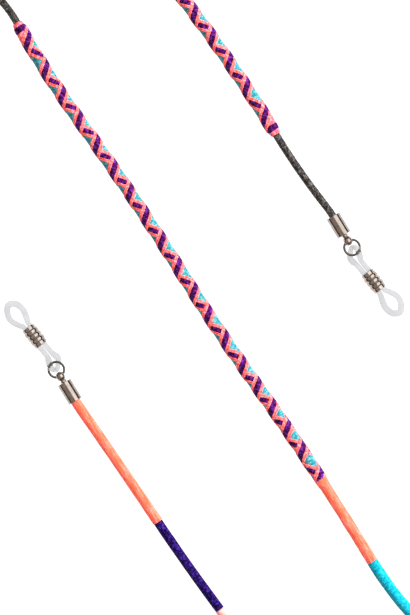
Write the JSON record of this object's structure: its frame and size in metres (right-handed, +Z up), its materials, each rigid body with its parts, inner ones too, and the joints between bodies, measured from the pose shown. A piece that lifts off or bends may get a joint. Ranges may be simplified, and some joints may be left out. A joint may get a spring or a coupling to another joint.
{
  "type": "eyeglass retainer strap",
  "caption": "Thread-wrapped cord with a woven ribbon pattern and a swivelling metal and silicone spectacle connector at each end.",
  "frame": {"origin": "middle of the base of the bounding box of the strap laid flat on a table", "axes": "+Z up from the table, +Y towards the upper hairpin bend, +X towards the right-hand end; the strap lies in an S in the XY plane"},
  "size_m": [0.11, 0.1924, 0.004],
  "materials": {
    "cord_charcoal": "waxed braided cotton cord, satin",
    "thread_coral": "tightly wound polished thread, satin",
    "thread_purple": "stranded embroidery thread, satin",
    "thread_pink": "tightly wound thread, satin",
    "thread_teal": "stranded embroidery thread, satin",
    "metal_nickel": "polished black-nickel plate",
    "silicone_clear": "translucent moulded silicone, satin"
  },
  "bodies": {
    "middle_strand": {"core_middle": "cord_charcoal", "woven_base_long": "thread_teal", "woven_ribbon_long": "thread_purple", "coral_whipping_long_top": "thread_coral", "purple_whipping_long_top": "thread_purple"},
    "lower_strand": {"core_lower": "cord_charcoal", "coral_wrap_middle": "thread_coral", "teal_wrap": "thread_teal"},
    "left_bend": {"core_left_bend": "cord_charcoal", "pink_wrap": "thread_pink", "purple_wrap": "thread_purple"},
    "left_end": {"core_left_end": "cord_charcoal", "coral_wrap_left": "thread_coral", "left_ferrule_cup": "metal_nickel"},
    "left_eye": {"left_ball_eye": "metal_nickel"},
    "left_ring": {"left_jump_ring": "metal_nickel"},
    "left_loop": {"left_temple_loop": "silicone_clear"},
    "left_bead": {"left_slide_bead": "metal_nickel"},
    "upper_bend": {"core_upper_bend": "cord_charcoal"},
    "short_strand": {"core_short": "cord_charcoal", "woven_base_short": "thread_teal", "woven_ribbon_short": "thread_purple", "coral_whipping_short_top": "thread_coral", "purple_whipping_short_top": "thread_purple", "coral_whipping_short_end": "thread_coral", "purple_whipping_short_end": "thread_purple"},
    "right_end": {"core_right_end": "cord_charcoal", "right_ferrule_cup": "metal_nickel"},
    "right_eye": {"right_ball_eye": "metal_nickel"},
    "right_ring": {"right_jump_ring": "metal_nickel"},
    "right_loop": {"right_temple_loop": "silicone_clear"},
    "right_bead": {"right_slide_bead": "metal_nickel"}
  },
  "joints": [
    {"name": "lower_strand_flex", "type": "hinge", "parent": "middle_strand", "child": "lower_strand", "pos_m": [0.02876, -0.04321, 0.00179], "axis": [0, 0, 1], "range_deg": [-5, 20]},
    {"name": "lower_bend_flex", "type": "hinge", "parent": "lower_strand", "child": "left_bend", "pos_m": [0.04246, -0.09473, 0.00147], "axis": [0, 0, 1], "range_deg": [-4, 20]},
    {"name": "left_strand_flex", "type": "hinge", "parent": "left_bend", "child": "left_end", "pos_m": [-0.01209, -0.05366, 0.00135], "axis": [0, 0, 1], "range_deg": [-8, 25]},
    {"name": "upper_bend_flex", "type": "hinge", "parent": "middle_strand", "child": "upper_bend", "pos_m": [-0.04978, 0.07492, 0.00171], "axis": [0, 0, 1], "range_deg": [-5, 20]},
    {"name": "short_strand_flex", "type": "hinge", "parent": "upper_bend", "child": "short_strand", "pos_m": [-0.03107, 0.094, 0.00158], "axis": [0, 0, 1], "range_deg": [-4, 20]},
    {"name": "right_strand_flex", "type": "hinge", "parent": "short_strand", "child": "right_end", "pos_m": [0.01957, 0.03985, 0.00185], "axis": [0, 0, 1], "range_deg": [-8, 25]},
    {"name": "left_eye_swivel", "type": "hinge", "parent": "left_end", "child": "left_eye", "pos_m": [-0.03646, -0.01722, 0.00201], "axis": [-0.521, 0.8536, 0], "continuous": true},
    {"name": "left_ring_tilt", "type": "hinge", "parent": "left_eye", "child": "left_ring", "pos_m": [-0.03646, -0.01722, 0.00201], "axis": [-0.8536, -0.521, 0], "range_deg": [-90, 90]},
    {"name": "left_loop_swing", "type": "hinge", "parent": "left_ring", "child": "left_loop", "pos_m": [-0.03748, -0.01556, 0.00201], "axis": [0, 0, 1], "range_deg": [-35, 35]},
    {"name": "left_bead_slide", "type": "slide", "parent": "left_loop", "child": "left_bead", "axis": [0.628, -0.7782, 0], "range_m": [0, 0.003]},
    {"name": "right_eye_swivel", "type": "hinge", "parent": "right_end", "child": "right_eye", "pos_m": [0.03542, 0.01667, 0.00201], "axis": [0.521, -0.8536, 0], "continuous": true},
    {"name": "right_ring_tilt", "type": "hinge", "parent": "right_eye", "child": "right_ring", "pos_m": [0.03542, 0.01667, 0.00201], "axis": [0.8536, 0.521, 0], "range_deg": [-90, 90]},
    {"name": "right_loop_swing", "type": "hinge", "parent": "right_ring", "child": "right_loop", "pos_m": [0.03644, 0.015, 0.00201], "axis": [0, 0, 1], "range_deg": [-35, 35]},
    {"name": "right_bead_slide", "type": "slide", "parent": "right_loop", "child": "right_bead", "axis": [-0.628, 0.7782, 0], "range_m": [0, 0.003]}
  ]
}
